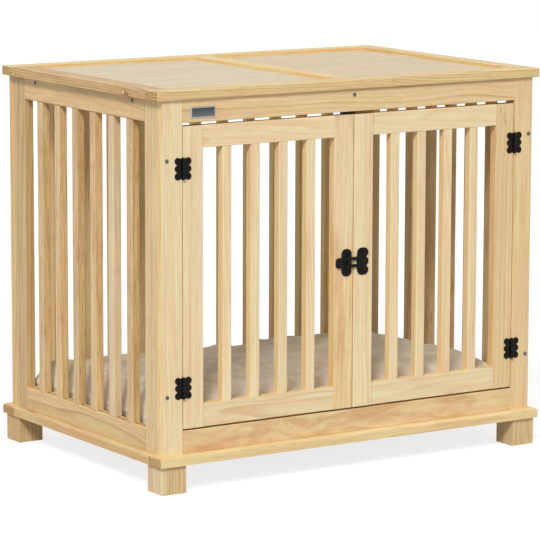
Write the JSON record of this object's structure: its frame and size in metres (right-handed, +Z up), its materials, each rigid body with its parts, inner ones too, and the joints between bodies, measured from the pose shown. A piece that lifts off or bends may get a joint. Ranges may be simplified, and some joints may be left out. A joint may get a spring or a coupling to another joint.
{
  "type": "dog crate end table",
  "caption": "Slatted pine dog crate that serves as an end table, with a pair of hinged doors at the front, a hasp latch, a framed tabletop, short feet and a floor cushion.",
  "frame": {"origin": "on the floor, under the middle of the crate's outer box", "axes": "+X to the right seen from the front, +Y to the back (the doors face -Y), +Z up"},
  "size_m": [0.8, 0.56, 0.686],
  "materials": {
    "pine": "planed and clear sealed",
    "pine_panel": "glued-up board, clear sealed",
    "black_iron": "black lacquered stamped iron",
    "zinc_screws": "zinc plated",
    "bare_plate": "satin, left bare",
    "black_plastic": "moulded",
    "cushion_fabric": "brushed woven polyester"
  },
  "bodies": {
    "crate": {"back_bottom_rail": "pine", "back_left_post": "pine", "back_right_post": "pine", "back_slats": "pine", "back_top_rail": "pine", "base_back_board": "pine", "base_front_board": "pine", "base_left_board": "pine", "base_right_board": "pine", "cushion": "cushion_fabric", "door_stop": "black_plastic", "feet": "pine", "floor_panel": "pine_panel", "frame_screws": "zinc_screws", "front_bottom_rail": "pine", "front_left_post": "pine", "front_plate": "bare_plate", "front_right_post": "pine", "front_top_rail": "pine", "hinge_frame_leaves": "black_iron", "hinge_frame_screws": "black_iron", "hinge_pins": "black_iron", "left_side_back_stile": "pine", "left_side_bottom_rail": "pine", "left_side_front_stile": "pine", "left_side_slats": "pine", "left_side_top_rail": "pine", "left_top_cleat": "pine", "right_side_back_stile": "pine", "right_side_bottom_rail": "pine", "right_side_front_stile": "pine", "right_side_slats": "pine", "right_side_top_rail": "pine", "right_top_cleat": "pine", "tabletop_back_rail": "pine", "tabletop_front_rail": "pine", "tabletop_left_panel": "pine_panel", "tabletop_left_rail": "pine", "tabletop_middle_rail": "pine", "tabletop_right_panel": "pine_panel", "tabletop_right_rail": "pine"},
    "left_door": {"left_door_hinge_stile": "pine", "left_door_latch_stile": "pine", "left_door_top_rail": "pine", "left_door_bottom_rail": "pine", "left_door_slats": "pine", "left_door_hinge_leaves": "black_iron", "left_door_screws": "black_iron", "catch_plate": "black_iron", "catch_stud": "black_iron"},
    "right_door": {"right_door_hinge_stile": "pine", "right_door_latch_stile": "pine", "right_door_top_rail": "pine", "right_door_bottom_rail": "pine", "right_door_slats": "pine", "right_door_hinge_leaves": "black_iron", "right_door_screws": "black_iron", "hasp_plate": "black_iron", "hasp_pin": "black_iron"},
    "hasp": {"hasp": "black_iron"}
  },
  "joints": [
    {"name": "right_door_hinge", "type": "hinge", "parent": "crate", "child": "right_door", "pos_m": [0.3477, -0.269, 0.366], "axis": [0, 0, 1], "range_deg": [0, 175]},
    {"name": "left_door_hinge", "type": "hinge", "parent": "crate", "child": "left_door", "pos_m": [-0.3477, -0.269, 0.366], "axis": [0, 0, 1], "range_deg": [-175, 0]},
    {"name": "hasp_pivot", "type": "hinge", "parent": "right_door", "child": "hasp", "pos_m": [0.0092, -0.2689, 0.3669], "axis": [0, 0, 1], "range_deg": [0, 170]}
  ],
  "couplings": [
    {"joint": "left_door_hinge", "follows": "right_door_hinge", "ratio": -1}
  ]
}
